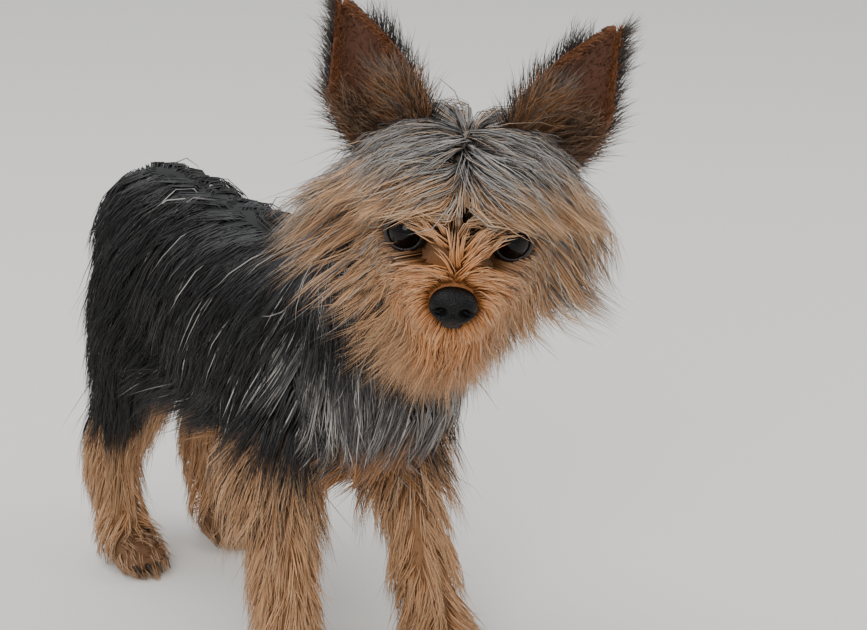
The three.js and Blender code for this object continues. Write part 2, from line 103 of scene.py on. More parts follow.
class Limb:
    """Oval sections on a curved line, each station x, y, z, half width and half height."""

    def __init__(self, stations, way, head=False, steps=20):
        s = np.array(stations, float)
        at = np.linspace(0, len(s) - 1, steps + 1)
        i = np.minimum(at.astype(int), len(s) - 2)
        f = (at - i)[:, None]
        p0, p1 = s[np.maximum(i - 1, 0)], s[i]
        p2, p3 = s[i + 1], s[np.minimum(i + 2, len(s) - 1)]
        row = 0.5 * (2 * p1 + (p2 - p0) * f + (2 * p0 - 5 * p1 + 4 * p2 - p3) * f**2
                     + (3 * p1 - p0 - 3 * p2 + p3) * f**3)
        self.middle = row[:, :3]
        self.w = np.maximum(row[:, 3], 1.5)
        self.h = np.maximum(row[:, 4], 1.5)
        along = unit(np.array(way, float))
        across = unit(np.array([1.0, 0, 0]) - along * along[0])
        up = np.cross(along, across)
        if head:
            self.middle = from_head(self.middle)
            along, across, up = (HEAD_ROTATION @ v for v in (along, across, up))
        self.axes = np.array([across, up, along])

    def distance(self, p):
        best = np.full(len(p), np.inf)
        for middle, w, h in zip(self.middle, self.w, self.h):
            d = p - middle
            q = np.linalg.norm(d @ self.axes.T / [w, h, min(w, h)], axis=1)
            best = np.minimum(best, np.linalg.norm(d, axis=1) * (1 - 1 / np.maximum(q, 1e-3)))
        return best

    def loft(self, bm, sides=28):
        turn = np.arange(sides) / sides * 2 * math.pi
        across, up, along = self.axes
        rings = []
        for middle, w, h in zip(self.middle, self.w, self.h):
            ring = middle + np.outer(np.cos(turn) * w, across) + np.outer(np.sin(turn) * h, up)
            rings.append([bm.verts.new(p) for p in metres(ring)])
        for a, b in zip(rings, rings[1:]):
            for k in range(sides):
                bm.faces.new([a[k], a[(k + 1) % sides], b[(k + 1) % sides], b[k]])
        for ring, end, sign in ((rings[0], 0, -1), (rings[-1], -1, 1)):
            way = np.sign((self.middle[-1] - self.middle[0]) @ along) * along * sign
            reach = 0.45 * min(self.w[end], self.h[end])
            tip = bm.verts.new(metres(self.middle[end] + way * reach))
            for k in range(sides):
                bm.faces.new([ring[k], ring[(k + 1) % sides], tip])


DOWN = [0, 0, -1]
LIMBS = {
    "torso": Limb([
        [0, CHEST_Y - 42, 150, 9, 11], [0, CHEST_Y - 32, 147, 25, 29], [0, CHEST_Y - 8, 143, 36, 42],
        [0, CHEST_Y + 24, 141, 38, 44], [0, CHEST_Y + 62, 145, 37, 40], [0, HIP_Y - 40, 151, 31, 36],
        [0, HIP_Y - 8, 157, 27, 35], [0, HIP_Y + 9, 161, 20, 26], [0, HIP_Y + 17, 163, 8, 11],
    ], [0, 1, 0], steps=32),
    "neck": Limb([
        [0, CHEST_Y + 10, 152, 22, 24], [0, CHEST_Y - 14, 166, 29, 31], [1, CHEST_Y - 38, 188, 26, 28],
        [4, SKULL[1] + 12, 212, 22, 23], [4, SKULL[1] + 2, 218, 12, 12],
    ], [0, -0.7, 0.7], steps=16),
    "head": Limb([
        [0, 35, 2, 8, 9], [0, 28, 3, 20, 19], [0, 12, 3, 29, 27],
        [0, -6, 2, 30, 28], [0, -19, -2, 27, 26], [0, -28, -8, 20, 20],
    ], [0, -1, 0], head=True),
    "muzzle": Limb([
        [0, -18, -8, 14, 9], [0, -30, -11, 15, 9.5], [0, -41, -13, 13.5, 9],
        [0, -48, -14.5, 11, 8], [0, -52, -15, 6, 5],
    ], [0, -1, 0], head=True, steps=12),
    "jaw": Limb([
        [0, -10, -24, 17, 8], [0, -28, -26, 12.5, 5.5], [0, -40, -26, 9.5, 4.5], [0, -47, -25.5, 5, 3],
    ], [0, -1, 0], head=True, steps=10),
    "tail": Limb([
        [0, HIP_Y + 4, 182, 6, 7], [0, HIP_Y + 18, 174, 7, 8], [-1, HIP_Y + 29, 156, 6.5, 6.5],
        [-3, HIP_Y + 34, 136, 5, 5], [-5, HIP_Y + 36, 121, 3, 3],
    ], [0, 0.3, -1], steps=14),
}
# Each paw's four toes, counted from its middle, which lies at x, y
TOES = []
TOE_PLACES = (-1.5, -0.5, 0.5, 1.5)
TOE_SPACING = 5.4
TOE_ARCH = 2.2
for side, label in SIDES.items():
    x = side * FORE_STANCE
    step = -STRIDE if side > 0 else 0
    LIMBS[f"foreleg_{label}"] = Limb([
        [x - side * 5, CHEST_Y - 2, 132, 11, 17], [x, CHEST_Y + 6, 108, 13, 17],
        [x, CHEST_Y + 8 + step * 0.2, 88, 10.5, 12], [x, CHEST_Y + 3 + step * 0.5, 60, 9.5, 10],
        [x, CHEST_Y + step * 0.85, 30, 9, 9.5], [x, CHEST_Y - 1 + step, 20, 7, 7],
    ], DOWN, steps=18)
    LIMBS[f"forepaw_{label}"] = Limb([
        [x, CHEST_Y + 6 + step, 12, 7, 7], [x, CHEST_Y - 2 + step, 11, 10.5, 10.5],
        [x, CHEST_Y - 14 + step, 9, 11.5, 8.5], [x, CHEST_Y - 22 + step, 7.5, 9, 6.5],
    ], [0, -1, 0], steps=8)
    TOES.append((x, CHEST_Y - 21 + step))
    x = side * HIND_STANCE
    LIMBS[f"thigh_{label}"] = Limb([
        [x - side * 6, HIP_Y - 14, 150, 12, 21], [x - side * 1, HIP_Y - 14, 124, 13, 25],
        [x, HIP_Y - 14, 98, 12.5, 20], [x, HIP_Y - 2, 76, 10.5, 14],
        [x, HIP_Y + 8, 60, 9, 10.5],
    ], DOWN, steps=16)
    LIMBS[f"shank_{label}"] = Limb([
        [x, HIP_Y + 9, 58, 8, 9.5], [x, HIP_Y + 13, 44, 9, 11], [x, HIP_Y + 7, 28, 8.5, 9],
        [x, HIP_Y + 3, 18, 7, 7],
    ], DOWN, steps=10)
    LIMBS[f"hindpaw_{label}"] = Limb([
        [x, HIP_Y + 10, 11, 7, 7], [x, HIP_Y + 2, 10.5, 10, 10], [x, HIP_Y - 10, 8.5, 11, 8],
        [x, HIP_Y - 17, 7.5, 8.5, 6.5],
    ], [0, -1, 0], steps=8)
    TOES.append((x, HIP_Y - 16))
NAMES = list(LIMBS)
KINDS = [name.split("_")[0] for name in NAMES]

# Free distance from the flesh, worked out once on a grid and read between its points
CELL = 3.0
MERGE = 3.0
LOW = np.array([-90.0, -215.0, -12.0])
COUNT = np.array([60, 130, 106])


def field_grid():
    axes = [LOW[k] + CELL * np.arange(COUNT[k]) for k in range(3)]
    p = np.stack(np.meshgrid(*axes, indexing="ij"), -1).reshape(-1, 3)
    total = np.zeros(len(p))
    for limb in LIMBS.values():
        total += np.exp(-np.clip(limb.distance(p), -60, 60) / MERGE)
    return (-MERGE * np.log(total)).reshape(COUNT)


FIELD = field_grid()
SLOPE = np.stack(np.gradient(FIELD, CELL), -1)


def read(grid, p):
    g = np.clip((p - LOW) / CELL, 0, COUNT - 1.001)
    i = g.astype(int)
    f = g - i
    value = 0
    for a in (0, 1):
        for b in (0, 1):
            for c in (0, 1):
                share = np.abs(1 - a - f[:, 0]) * np.abs(1 - b - f[:, 1]) * np.abs(1 - c - f[:, 2])
                part = grid[i[:, 0] + a, i[:, 1] + b, i[:, 2] + c]
                value = value + (share[:, None] * part if part.ndim > 1 else share * part)
    return value


def kinds_at(p):
    """The number of the limb that each point lies closest to."""
    return np.argmin([limb.distance(p) for limb in LIMBS.values()], axis=0)


# Markings, in sRGB, before each tuft's own variation
BLACK = linear([17, 14, 13])
DARK = linear([46, 40, 38])
STEEL = linear([96, 92, 94])
SILVER = linear([186, 181, 174])
TAN = linear([196, 142, 94])
RICH = linear([200, 128, 66])
CREAM = linear([222, 192, 156])
BROWN = linear([104, 66, 38])


def blend(a, b, share):
    return a + (b - a) * np.asarray(share)[..., None]


def body_markings(p, is_kind, wave):
    """Black body, steel at the neck, silver and tan on the chest, tan legs and a black thigh side."""
    n = len(p)
    colour = np.tile(BLACK, (n, 1))
    silver = np.zeros(n)
    dark = np.zeros(n)
    front = smooth(-p[:, 1] + wave, -CHEST_Y + 2, -CHEST_Y + 26)
    chest = front * smooth(-p[:, 2] + wave, -185, -150)
    trunk = is_kind["torso"] | is_kind["neck"]
    nape = is_kind["neck"] * smooth(p[:, 2], 186, 204)
    silver = np.where(trunk, 0.02 + 0.6 * chest + 0.16 * nape, silver)
    colour = np.where(trunk[:, None], blend(colour, STEEL, np.maximum(0.75 * chest, 0.45 * nape)), colour)
    low = front * smooth(-p[:, 2] + wave, -136, -120)
    colour = np.where(trunk[:, None], blend(colour, TAN, low), colour)
    silver = np.where(trunk, silver * (1 - low), silver)
    belly = smooth(-p[:, 2], -116, -106) * (1 - smooth(np.abs(p[:, 0]), 18, 30))
    colour = np.where(trunk[:, None], blend(colour, TAN, 0.8 * belly), colour)

    arm = is_kind["foreleg"]
    colour = np.where(arm[:, None], blend(BLACK, TAN, smooth(-p[:, 2] + wave, -128, -104)), colour)
    thigh = is_kind["thigh"]
    outer = smooth(np.abs(p[:, 0]), 22, 34)
    rear = smooth(p[:, 1], HIP_Y - 4, HIP_Y + 10)
    edge = 112 - 30 * np.maximum(outer, rear)
    upper = smooth(p[:, 2] + wave, edge - 10, edge + 10)
    colour = np.where(thigh[:, None], blend(TAN, BLACK, upper), colour)
    leg = is_kind["shank"] | is_kind["forepaw"]
    colour = np.where(leg[:, None], TAN, colour)
    colour = np.where(is_kind["hindpaw"][:, None], blend(TAN, BROWN, 0.6), colour)
    silver = np.where(is_kind["tail"], 0.12, silver)
    dark = np.where(is_kind["foreleg"], 0.25 * smooth(p[:, 2], 72, 96), dark)
    return colour, silver, dark


def head_markings(q):
    """Rich tan on the face, silver and steel on the crown and the sides, dark between the eyes."""
    side = np.abs(q[:, 0])
    face = blend(TAN, RICH, smooth(-q[:, 1], 28, 40))
    crown = smooth(q[:, 2] - 0.2 * side, 15, 26)
    back = smooth(q[:, 1], -8, 12)
    steel = np.maximum(crown, back)
    face = blend(face, blend(STEEL, CREAM, 0.3 * crown), 0.85 * steel)
    eyes = np.hypot(side - EYE[0], q[:, 2] - EYE[2])
    around = 1 - smooth(eyes, 8, 15)
    face = blend(face, BROWN, 0.65 * around * (1 - back))
    middle = 1 - smooth(np.abs(q[:, 0] - 1), 1.5, 5)
    streak = middle * smooth(q[:, 2], 0, 4) * (1 - smooth(q[:, 2], 12, 18))
    face = blend(face, DARK, 0.8 * streak)
    rim = (1 - steel) * smooth(side, 18, 28)
    silver = 0.7 * crown * (1 - 0.5 * back) + 0.3 * back + 0.2 * rim
    return face, silver, 0.12 * steel + 0.04


def markings(p, kind):
    """The coat's colour at each place of the skin, and how much of silver and of dark is mixed in."""
    wave = 5 * np.sin(p[:, 0] * 0.13 + p[:, 2] * 0.07) + 4 * np.sin(p[:, 1] * 0.11 + 1)
    is_kind = {name: np.array([KINDS[k] == name for k in kind]) for name in set(KINDS)}
    colour, silver, dark = body_markings(p, is_kind, wave)
    face, face_silver, face_dark = head_markings(to_head(p))
    head = is_kind["head"] | is_kind["muzzle"] | is_kind["jaw"]
    colour = np.where(head[:, None], face, colour)
    return colour, np.where(head, face_silver, silver), np.where(head, face_dark, dark)


def mesh_object(name, points, faces, flat=False):
    mesh = bpy.data.meshes.new(name)
    mesh.from_pydata([tuple(p) for p in points], [], [tuple(f) for f in faces])
    mesh.update()
    if not flat:
        mesh.polygons.foreach_set("use_smooth", np.ones(len(mesh.polygons), bool))
    made = bpy.data.objects.new(name, mesh)
    bpy.context.scene.collection.objects.link(made)
    return made


COLOUR_LAYER = "Coat"


def paint(made, colours):
    layer = made.data.color_attributes.new(COLOUR_LAYER, "FLOAT_COLOR", "POINT")
    rgba = np.ones((len(made.data.vertices), 4), np.float32)
    rgba[:, :3] = colours
    layer.data.foreach_set("color", rgba.ravel())


def vertices_of(made):
    flat = np.empty(len(made.data.vertices) * 3, np.float32)
    made.data.vertices.foreach_get("co", flat)
    return flat.reshape(-1, 3).astype(float)


# Skin
SKIN_VOXEL = 0.0021
SKIN_SMOOTHING = 8
LOWEST_SKIN = 0.0004
EYE_HOLLOW = 0.0115


def hollow_eyes(points):
    """Presses the skin in where the eyes sit."""
    for s in SIDES:
        centre = metres(from_head(EYE * [s, 1, 1]))
        away = points - centre
        far = np.linalg.norm(away, axis=1)
        out = metres(from_head(EYE * [s, 1, 1] + [0, -1, 0])) - centre
        infront = away @ (out / np.linalg.norm(out))
        hollow = (far < EYE_HOLLOW) & (infront > 0)
        points[hollow] -= np.outer(infront[hollow], out / np.linalg.norm(out)) * 0.9


def make_skin():
    bm = bmesh.new()
    for limb in LIMBS.values():
        limb.loft(bm)
    for x, y in TOES:
        for k in TOE_PLACES:
            place = metres([x + TOE_SPACING * k, y - 1.5 + TOE_ARCH * abs(k) - 1.2, 6.2])
            shape = Matrix.Translation(place) @ Matrix.Diagonal((3.4, 5.6, 4.6, 1))
            bmesh.ops.create_uvsphere(bm, u_segments=12, v_segments=8, radius=0.001, matrix=shape)
    bmesh.ops.recalc_face_normals(bm, faces=bm.faces)
    mesh = bpy.data.meshes.new("skin")
    bm.to_mesh(mesh)
    bm.free()
    made = bpy.data.objects.new("skin", mesh)
    bpy.context.scene.collection.objects.link(made)
    bpy.context.view_layer.objects.active = made
    remesh = made.modifiers.new("remesh", "REMESH")
    remesh.mode = "VOXEL"
    remesh.voxel_size = SKIN_VOXEL
    even = made.modifiers.new("smooth", "SMOOTH")
    even.iterations = SKIN_SMOOTHING
    even.factor = 0.5
    graph = bpy.context.evaluated_depsgraph_get()
    closed = bpy.data.meshes.new_from_object(made.evaluated_get(graph))
    made.modifiers.clear()
    made.data = closed
    closed.name = "skin"
    points = vertices_of(made)
    points[:, 2] = np.maximum(points[:, 2], LOWEST_SKIN)
    hollow_eyes(points)
    closed.vertices.foreach_set("co", points.astype(np.float32).ravel())
    closed.update()
    closed.polygons.foreach_set("use_smooth", np.ones(len(closed.polygons), bool))
    return made


def unwrap(made):
    for other in bpy.context.selected_objects:
        other.select_set(False)
    bpy.context.view_layer.objects.active = made
    made.select_set(True)
    made.data.uv_layers.new(name="OFBake")
    bpy.ops.object.mode_set(mode="EDIT")
    bpy.ops.mesh.select_all(action="SELECT")
    bpy.ops.uv.smart_project(angle_limit=1.1, island_margin=0.004)
    bpy.ops.object.mode_set(mode="OBJECT")


def triangles_of(made):
    """Corners, normals and unwrap places of every triangle, in millimetres of the body's frame."""
    mesh = made.data
    mesh.calc_loop_triangles()
    n = len(mesh.loop_triangles)
    corner = np.empty(n * 3, int)
    loops = np.empty(n * 3, int)
    mesh.loop_triangles.foreach_get("vertices", corner)
    mesh.loop_triangles.foreach_get("loops", loops)
    uv = np.empty(len(mesh.loops) * 2)
    mesh.uv_layers["OFBake"].data.foreach_get("uv", uv)
    normals = np.empty(len(mesh.vertices) * 3)
    mesh.vertices.foreach_get("normal", normals)
    corner = corner.reshape(-1, 3)
    points = vertices_of(made) * 1000 + CENTRE
    return points[corner], normals.reshape(-1, 3)[corner], uv.reshape(-1, 2)[loops.reshape(-1, 3)]


def scatter(tables, density, count):
    """Roots spread over triangles, by area and by a density given at each triangle's middle."""
    points, normals, uv = tables
    area = np.linalg.norm(np.cross(points[:, 1] - points[:, 0], points[:, 2] - points[:, 0]), axis=1)
    weight = area * density
    pick = rng.choice(len(area), count, p=weight / weight.sum())
    u = rng.random((count, 2))
    over = u.sum(1) > 1
    u[over] = 1 - u[over]
    share = np.stack([1 - u.sum(1), u[:, 0], u[:, 1]], 1)[:, :, None]
    return (points[pick] * share).sum(1), unit((normals[pick] * share).sum(1)), (uv[pick] * share).sum(1)


# The lie of the coat
def comb(p, kind):
    """The way the coat grows at each point, before it is laid along the flesh."""
    q = to_head(p)
    n = len(p)
    names = np.array(KINDS)[kind]
    side = np.where(q[:, 0] < 0, -1.0, 1.0)

    face = unit(np.stack([q[:, 0], np.zeros(n), q[:, 2] + 7], 1))
    face[:, 1] += 0.45
    face[:, 2] -= 0.45
    chin = np.stack([0.03 * q[:, 0], 0.1 * np.ones(n), -np.ones(n)], 1)
    face = blend(face, chin, smooth(-q[:, 2], 20, 27))
    across = np.clip(q[:, 0] / 14, -1, 1)
    crown = np.stack([across * 0.95, -0.3 + 1.2 * smooth(q[:, 1], -2, 22), -0.3 * np.ones(n)], 1)
    cheek = np.stack([side, 0.1 * np.ones(n), -0.4 + 0.03 * q[:, 2]], 1)
    face = blend(face, cheek, smooth(np.abs(q[:, 0]), 20, 28) * smooth(q[:, 2], -24, -12))
    lie = blend(face, crown, smooth(q[:, 2], 9, 20))
    nape = np.stack([side * 0.5, 0.5 * np.ones(n), -0.9 * np.ones(n)], 1)
    lie = blend(lie, nape, smooth(q[:, 1], 12, 26))
    head = lie @ HEAD_ROTATION.T

    tilt = np.clip(p[:, 0] / 8, -1, 1)
    ahead = smooth(-p[:, 1], -CHEST_Y, -CHEST_Y + 28)
    body = np.stack([
        tilt * (0.85 - 0.6 * ahead), 0.42 - 0.5 * ahead, -0.85 - 0.2 * ahead,
    ], 1)
    leg = np.tile([0.0, 0.14, -1.0], (n, 1))
    leg[:, 0] = 0.06 * np.sign(p[:, 0])
    paw = np.tile([0.0, -0.75, -0.6], (n, 1))
    way = np.where(np.isin(names, ["torso", "neck"])[:, None], body, leg)
    way = np.where(np.isin(names, ["head", "muzzle", "jaw"])[:, None], head, way)
    way = np.where(np.isin(names, ["forepaw", "hindpaw"])[:, None], paw, way)
    return unit(way)


def coat_length(p, kind):
    q = to_head(p)
    names = np.array(KINDS)[kind]
    base = {"torso": 46, "neck": 44, "head": 48, "muzzle": 27, "jaw": 47, "tail": 38,
            "foreleg": 32, "forepaw": 12, "thigh": 36, "shank": 24, "hindpaw": 11}
    length = np.array([base[name] for name in names], float)
    side = np.abs(q[:, 0])
    nose = np.linalg.norm(q - NOSE, axis=1)
    length = np.where(names == "muzzle", 5 + 22 * smooth(nose, 9, 26), length)
    brow = np.hypot(side - EYE[0], q[:, 2] - EYE[2])
    face = names == "head"
    near = smooth(brow, 8, 24)
    length = np.where(face & (q[:, 1] < -8), 7 + 38 * near, length)
    length = np.where(face & (q[:, 2] > 14), 38, length)
    temple = smooth(side, 18, 26) * (q[:, 1] > -18)
    length = np.where(face, length + 6 * temple, length)
    bridge = (1 - smooth(side, 5, 12)) * (1 - smooth(q[:, 2], 8, 16))
    length = np.where(face & (q[:, 1] < -8), length * (1 - 0.55 * bridge), length)
    under = (names == "torso") & (p[:, 2] < 114)
    length = np.where(under & (p[:, 1] > CHEST_Y + 30), 24, length)
    length = np.where(under & (p[:, 1] < CHEST_Y + 12), 52, length)
    length = np.where((names == "foreleg") & (p[:, 2] > 84), 42, length)
    return length


def step_out(p, least):
    """Moves points out along the flesh's slope until they are clear of it."""
    room = read(FIELD, p)
    short = np.maximum(least - room, 0)
    return p + unit(read(SLOPE, p)) * short[:, None]


STEPS = 6
# The coat reaches this far sideways, and bends back over the spare width beyond it
WIDE = 57.0
SPARE = 10.0


def bend_back(p):
    over = np.maximum(np.abs(p[..., :1]) - WIDE, 0)
    return p - np.sign(p) * [1, 0, 0] * (over - SPARE * np.tanh(over / SPARE))


def grow_guides(root, normal, kind, length, lift):
    """The paths that tufts follow: laid along the flesh, standing off it by the lift."""
    n = len(root)
    path = [root - normal * 1.2, root + normal * 0.4]
    p = path[1].copy()
    sway = rng.normal(0, 0.16, n)
    wave = rng.uniform(0, 2 * math.pi, n)
    for k in range(1, STEPS):
        t = k / (STEPS - 1)
        out = unit(read(SLOPE, p))
        way = comb(p, kind)
        way = unit(way - out * (way * out).sum(1, keepdims=True) * 0.85)
        sideways = np.cross(out, way)
        way += sideways * (sway + 0.12 * np.sin(wave + 4 * t))[:, None]
        way += out * (lift * (1.15 - t))[:, None]
        way[:, 2] -= 0.1 * t
        p = p + unit(way) * (length / (STEPS - 1))[:, None]
        p = step_out(p, 0.5 + 1.1 * k)
        p = bend_back(p)
        path.append(p.copy())
    return np.stack(path, 1)


def nearest(points, others, chunk=2000):
    found = np.empty(len(points), int)
    for a in range(0, len(points), chunk):
        d = ((points[a:a + chunk, None] - others[None]) ** 2).sum(2)
        found[a:a + chunk] = d.argmin(1)
    return found


def sample_path(path, at):
    """Points of every path at shares `at` of its length."""
    last = path.shape[1] - 1
    g = np.clip(at * last, 0, last - 1e-6)
    i = g.astype(int)
    f = (g - i)[None, :, None]
    return path[:, i] * (1 - f) + path[:, i + 1] * f


def blocked(path):
    """Tufts that would hang over an eye or the nose."""
    q = to_head(path.reshape(-1, 3)).reshape(path.shape)
    eye = np.hypot(np.abs(q[..., 0]) - EYE[0] - 0.5, (q[..., 2] - EYE[2]) * 1.1)
    over_eye = (eye < 6.8) & (q[..., 1] < EYE[1] + 9) & (q[..., 2] > -20)
    over_nose = (np.linalg.norm((q - NOSE) * [0.9, 1, 1], axis=2) < 8) | (
        (np.hypot(q[..., 0], (q[..., 2] - NOSE[2]) * 1.1) < 7.6) & (q[..., 1] < NOSE[1] + 4)
    )
    return (over_eye | over_nose).any(1)


def tuft_mesh(path, width, tone, uv, rings):
    """Three-sided tapered tufts as one table of points, faces, colours and unwrap places."""
    n = len(path)
    at = np.linspace(0, 1, rings + 1)
    line = sample_path(path, at)
    way = unit(np.gradient(line, axis=1))
    hint = unit(rng.normal(0, 1, (n, 1, 3)))
    a = unit(np.cross(way, hint))
    b = np.cross(way, a)
    profile = np.array([0.75, 1.0, 0.95, 0.8, 0.6, 0.45, 0.3])[np.linspace(0, 5, rings).round().astype(int)]
    around = np.array([0, 2 * math.pi / 3, 4 * math.pi / 3])
    ring = (np.cos(around)[:, None] * a[:, :rings, None] + np.sin(around)[:, None] * b[:, :rings, None])
    ring = line[:, :rings, None] + ring * (width[:, None] * profile)[:, :, None, None]
    points = np.concatenate([ring.reshape(n, rings * 3, 3), line[:, rings:]], 1)
    faces = [(0, 2, 1)]
    for k in range(rings - 1):
        for i in range(3):
            j = (i + 1) % 3
            c, d = 3 * k + i, 3 * k + j
            faces += [(c, d, d + 3), (c, d + 3, c + 3)]
    tip = rings * 3
    faces += [(tip - 3 + i, tip - 3 + (i + 1) % 3, tip) for i in range(3)]
    share = np.concatenate([np.repeat(at[:rings], 3), [1]])
    patch = np.stack([
        np.concatenate([np.tile([0, 0.5, 1], rings), [0.5]]), share,
    ], 1) * 0.003
    root, tips = tone
    colours = root[:, None] + (tips - root)[:, None] * (share**1.2)[None, :, None]
    places = uv[:, None] + patch[None]
    return points, np.array(faces), colours, places


MOST_TRIANGLES = 190000


def in_groups(tables):
    """Deals tables of tufts out to groups, each below the limit of triangles."""
    groups, size = [[]], 0
    for points, faces, colours, places in tables:
        per = max(1, MOST_TRIANGLES // len(faces))
        for a in range(0, len(points), per):
            part = (points[a:a + per], faces, colours[a:a + per], places[a:a + per])
            triangles = len(part[0]) * len(faces)
            if size + triangles > MOST_TRIANGLES and groups[-1]:
                groups.append([])
                size = 0
            groups[-1].append(part)
            size += triangles
    return groups


def tuft_piece(name, group):
    co, tri, col, uvs = [], [], [], []
    start = 0
    for points, faces, colours, places in group:
        n, per = points.shape[:2]
        offset = start + np.arange(n)[:, None, None] * per
        tri.append((faces[None] + offset).reshape(-1, 3))
        co.append(points.reshape(-1, 3))
        col.append(colours.reshape(-1, 3))
        uvs.append(places.reshape(-1, 2))
        start += n * per
    co, tri, col, uvs = (np.concatenate(x) for x in (co, tri, col, uvs))
    mesh = bpy.data.meshes.new(name)
    mesh.vertices.add(len(co))
    mesh.vertices.foreach_set("co", metres(co).astype(np.float32).ravel())
    mesh.loops.add(len(tri) * 3)
    mesh.loops.foreach_set("vertex_index", tri.ravel().astype(np.int32))
    mesh.polygons.add(len(tri))
    mesh.polygons.foreach_set("loop_start", (np.arange(len(tri)) * 3).astype(np.int32))
    mesh.update(calc_edges=True)
    mesh.polygons.foreach_set("use_smooth", np.ones(len(tri), bool))
    layer = mesh.uv_layers.new(name="OFBake")
    layer.data.foreach_set("uv", uvs[tri.ravel()].astype(np.float32).ravel())
    piece = bpy.data.objects.new(mesh.name, mesh)
    bpy.context.scene.collection.objects.link(piece)
    paint(piece, col)
    piece.data.materials.append(HAIR)
    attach(piece, "root")


def write_tufts(name, tables):
    for index, group in enumerate(in_groups(tables)):
        tuft_piece(f"{name}_{index + 1}", group)


# Materials
def principled(name, colour=(0.5, 0.5, 0.5), roughness=0.6, **values):
    material = bpy.data.materials.new(name)
    material.use_nodes = True
    shader = material.node_tree.nodes["Principled BSDF"]
    shader.inputs["Base Color"].default_value = (*colour, 1)
    shader.inputs["Roughness"].default_value = roughness
    for key, value in values.items():
        shader.inputs[key.replace("_", " ")].default_value = value
    return material, shader


def painted(name, roughness, contrast, grain=900, **values):
    """A material that reads its colour from the mesh, with a fine procedural mottle."""
    material, shader = principled(name, roughness=roughness, **values)
    tree = material.node_tree
    source = tree.nodes.new("ShaderNodeAttribute")
    source.attribute_name = COLOUR_LAYER
    noise = tree.nodes.new("ShaderNodeTexNoise")
    noise.inputs["Scale"].default_value = grain
    level = tree.nodes.new("ShaderNodeMapRange")
    level.inputs["To Min"].default_value = 1 - contrast
    level.inputs["To Max"].default_value = 1 + contrast
    place = tree.nodes.new("ShaderNodeTexCoord")
    scale = tree.nodes.new("ShaderNodeVectorMath")
    scale.operation = "SCALE"
    tree.links.new(place.outputs["Object"], noise.inputs["Vector"])
    tree.links.new(noise.outputs["Fac"], level.inputs["Value"])
    tree.links.new(source.outputs["Color"], scale.inputs[0])
    tree.links.new(level.outputs["Result"], scale.inputs["Scale"])
    tree.links.new(scale.outputs["Vector"], shader.inputs["Base Color"])
    return material


def leather(name, colour, roughness, bump, grain, shine=0.4):
    material, shader = principled(name, colour, roughness, Specular_IOR_Level=shine)
    tree = material.node_tree
    cells = tree.nodes.new("ShaderNodeTexVoronoi")
    cells.inputs["Scale"].default_value = grain
    place = tree.nodes.new("ShaderNodeTexCoord")
    relief = tree.nodes.new("ShaderNodeBump")
    relief.inputs["Strength"].default_value = bump
    relief.inputs["Distance"].default_value = 0.0006
    tree.links.new(place.outputs["Object"], cells.inputs["Vector"])
    tree.links.new(cells.outputs["Distance"], relief.inputs["Height"])
    tree.links.new(relief.outputs["Normal"], shader.inputs["Normal"])
    return material


NOSE_BLACK = (0.0012, 0.0011, 0.0011)
HAIR = painted("hair", 0.42, contrast=0.12, grain=400)
SKIN = painted("skin", 0.85, contrast=0.25, grain=600)
EAR_SKIN = painted("ear_leather", 0.7, contrast=0.2, grain=700)
EYE_MATERIAL = painted("eye_surface", 0.05, contrast=0.0, Specular_IOR_Level=0.16)
LID = leather("lid", tuple(linear([26, 19, 16])), 0.45, 0.3, 1800)
NOSE_LEATHER = leather("nose_leather", NOSE_BLACK, 0.4, 0.4, 1500, 0.16)
CLAW, _ = principled("claw", tuple(linear([32, 26, 22])), 0.35)


def kept(made, slot, *nodes):
    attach(made, "root")
    if nodes:
        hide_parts(*nodes)


skin = make_skin()
unwrap(skin)
skin_points = vertices_of(skin) * 1000 + CENTRE
skin_kind = kinds_at(skin_points)
skin_colour, skin_silver, _ = markings(skin_points, skin_kind)
paint(skin, blend(skin_colour, SILVER, 0.5 * skin_silver) * 0.4)
skin.data.materials.append(SKIN)
flesh = [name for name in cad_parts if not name.startswith(("eye", "nose", "ear"))]
kept(skin, "black_coat", *flesh)


# Eyes and lids
PUPIL = linear([4, 3, 3])
IRIS = linear([15, 8, 6])
IRIS_RIM = linear([16, 9, 6])
EYE_WHITE = linear([26, 18, 15])
LID_OPENING = 0.92


def sphere_grid(rows, columns):
    polar = np.linspace(0, math.pi, rows)
    turn = np.arange(columns) / columns * 2 * math.pi
    return np.meshgrid(polar, turn, indexing="ij")


def grid_faces(rows, columns, closed=True):
    faces = []
    for r in range(rows - 1):
        for c in range(columns if closed else columns - 1):
            d = (c + 1) % columns
            faces.append((r * columns + c, r * columns + d, (r + 1) * columns + d, (r + 1) * columns + c))
    return faces


VIEW = np.array([
    math.sin(VIEW_AZIMUTH) * math.cos(VIEW_DROP),
    math.cos(VIEW_AZIMUTH) * math.cos(VIEW_DROP),
    -math.sin(VIEW_DROP),
])
GAZE = unit(HEAD_ROTATION.T @ -VIEW * 0.75 + np.array([0, -0.35, 0]))


def frame_of(axis):
    across = unit(np.cross(np.array([0, 0, 1.0]), axis))
    return np.array([across, np.cross(axis, across), axis])


def on_sphere(polar, turn):
    return np.stack([np.sin(polar) * np.cos(turn), np.sin(polar) * np.sin(turn), np.cos(polar)], -1)


